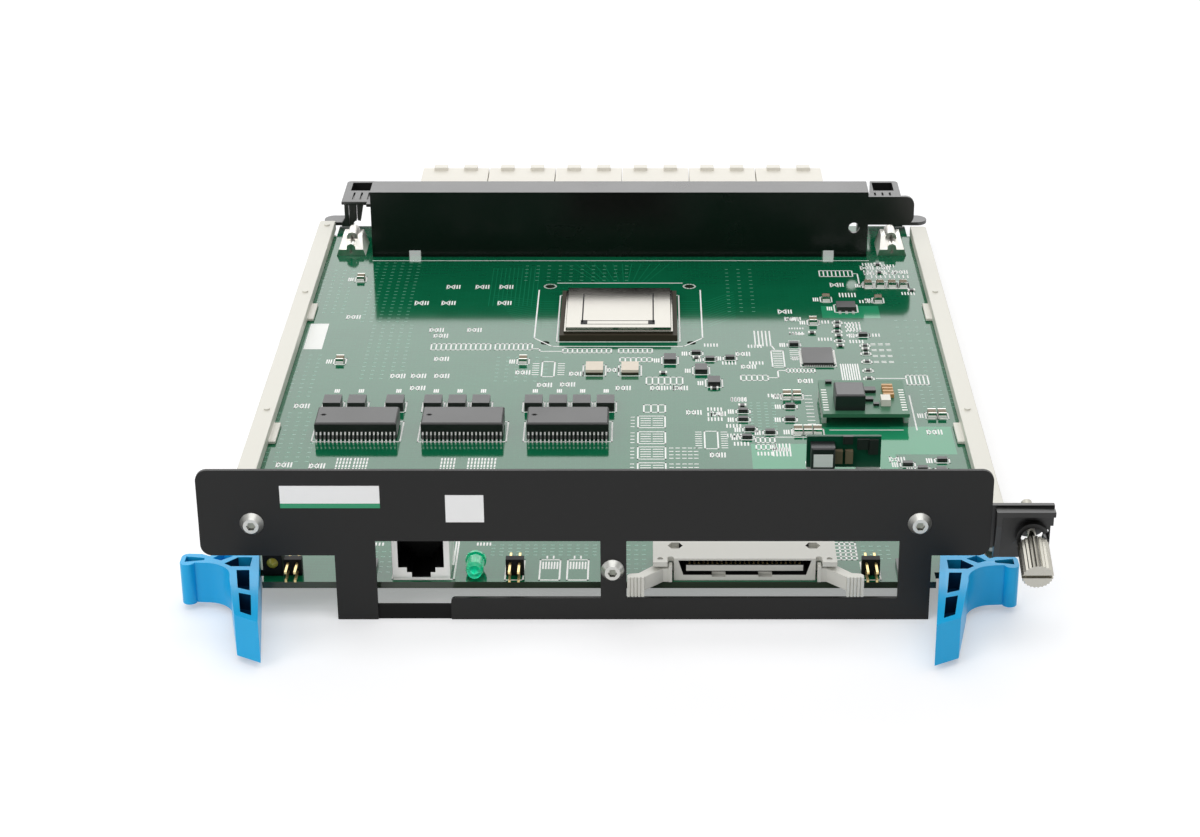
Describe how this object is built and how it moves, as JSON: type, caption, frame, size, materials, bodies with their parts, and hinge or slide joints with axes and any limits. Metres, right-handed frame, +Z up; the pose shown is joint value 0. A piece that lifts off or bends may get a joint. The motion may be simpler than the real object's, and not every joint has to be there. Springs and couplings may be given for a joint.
{
  "type": "cache switch board",
  "caption": "Plug-in green circuit board with side guide rails, a black windowed front bezel, blue ejector levers, a captive thumbscrew and rear backplane connectors.",
  "frame": {"origin": "middle of the underside of the outer box, under the rails and the bezel", "axes": "+X to the right seen from the front bezel, +Y to the rear along the board, +Z up from the board's face"},
  "size_m": [0.24, 0.3292, 0.0459],
  "materials": {
    "circuit_board": "glossy green solder mask over a printed laminate",
    "black_paint": "satin black paint on folded sheet steel",
    "steel": "bright zinc-plated steel",
    "nickel": "bright nickel plate",
    "cream_plastic": "cream moulded plastic",
    "connector_plastic": "warm light grey moulded plastic",
    "blue_plastic": "bright blue moulded plastic",
    "black_plastic": "black moulded plastic",
    "jack_plastic": "off-white moulded plastic",
    "gold_plate": "gold-plated spring contacts",
    "tinned_leads": "tin-plated leads",
    "green_lens": "clear green lamp resin",
    "amber_lens": "clear yellow lamp resin",
    "chip_substrate": "dark laminate",
    "chip_metal": "bead-blasted nickel lid",
    "ceramic_chips": "tan ceramic with tinned ends",
    "converter_board": "dark green printed laminate"
  },
  "bodies": {
    "board": {"main_board": "circuit_board", "bezel_panel": "black_paint", "panel_bracket_left": "black_paint", "panel_bracket_right": "black_paint", "panel_bracket_middle": "black_paint", "rear_stiffener": "black_paint", "thumbscrew_bracket": "black_paint", "bezel_screws": "steel", "lever_pin_left": "steel", "lever_pin_right": "steel", "latch_pins": "steel", "guide_socket_left": "nickel", "guide_socket_right": "nickel", "guide_rail_left": "cream_plastic", "guide_rail_right": "cream_plastic", "rail_pins": "cream_plastic", "backplane_connector_1": "connector_plastic", "backplane_connector_2": "connector_plastic", "backplane_connector_3": "connector_plastic", "backplane_connector_4": "connector_plastic", "backplane_connector_5": "connector_plastic", "backplane_connector_6": "connector_plastic", "ribbon_header": "connector_plastic", "end_block_left": "black_plastic", "end_block_right": "black_plastic", "indicator_housing": "black_plastic", "pin_headers": "black_plastic", "line_transformer_1": "black_plastic", "line_transformer_2": "black_plastic", "line_transformer_3": "black_plastic", "line_suppressors": "black_plastic", "small_chips": "black_plastic", "chip_resistors": "black_plastic", "converter_coil": "black_plastic", "upright_choke": "black_plastic", "network_jack": "jack_plastic", "jack_contacts": "gold_plate", "header_pins": "gold_plate", "ribbon_contacts": "gold_plate", "status_lamp_legs": "tinned_leads", "transformer_leads": "tinned_leads", "chip_leads": "tinned_leads", "converter_posts": "tinned_leads", "upright_feet": "tinned_leads", "status_lamp": "green_lens", "indicator_lens": "amber_lens", "switch_chip_base": "chip_substrate", "switch_chip_lid": "chip_metal", "clock_crystals": "chip_metal", "chip_capacitors": "ceramic_chips", "converter_plate": "converter_board", "upright_board": "converter_board"},
    "lever_left": {"ejector_lever_left": "blue_plastic"},
    "lever_right": {"ejector_lever_right": "blue_plastic"},
    "latch_left": {"ribbon_latch_left": "connector_plastic"},
    "latch_right": {"ribbon_latch_right": "connector_plastic"},
    "captive_thumbscrew": {"thumbscrew": "nickel", "thumbscrew_ring": "steel"}
  },
  "joints": [
    {"name": "lever_left_pivot", "type": "hinge", "parent": "board", "child": "lever_left", "pos_m": [-0.10465, -0.11935, 0.0091], "axis": [0, 0, 1], "range_deg": [-40, 0]},
    {"name": "lever_right_pivot", "type": "hinge", "parent": "board", "child": "lever_right", "pos_m": [0.09675, -0.12085, 0.0091], "axis": [0, 0, 1], "range_deg": [0, 40]},
    {"name": "latch_left_pivot", "type": "hinge", "parent": "board", "child": "latch_left", "pos_m": [0.01295, -0.13045, 0.0116], "axis": [0, 0, 1], "range_deg": [0, 45]},
    {"name": "latch_right_pivot", "type": "hinge", "parent": "board", "child": "latch_right", "pos_m": [0.05975, -0.13045, 0.0116], "axis": [0, 0, 1], "range_deg": [-45, 0]},
    {"name": "thumbscrew_turn", "type": "hinge", "parent": "board", "child": "captive_thumbscrew", "pos_m": [0.11425, -0.1344, 0.0257], "axis": [0, 0.9511, 0.309], "continuous": true}
  ]
}
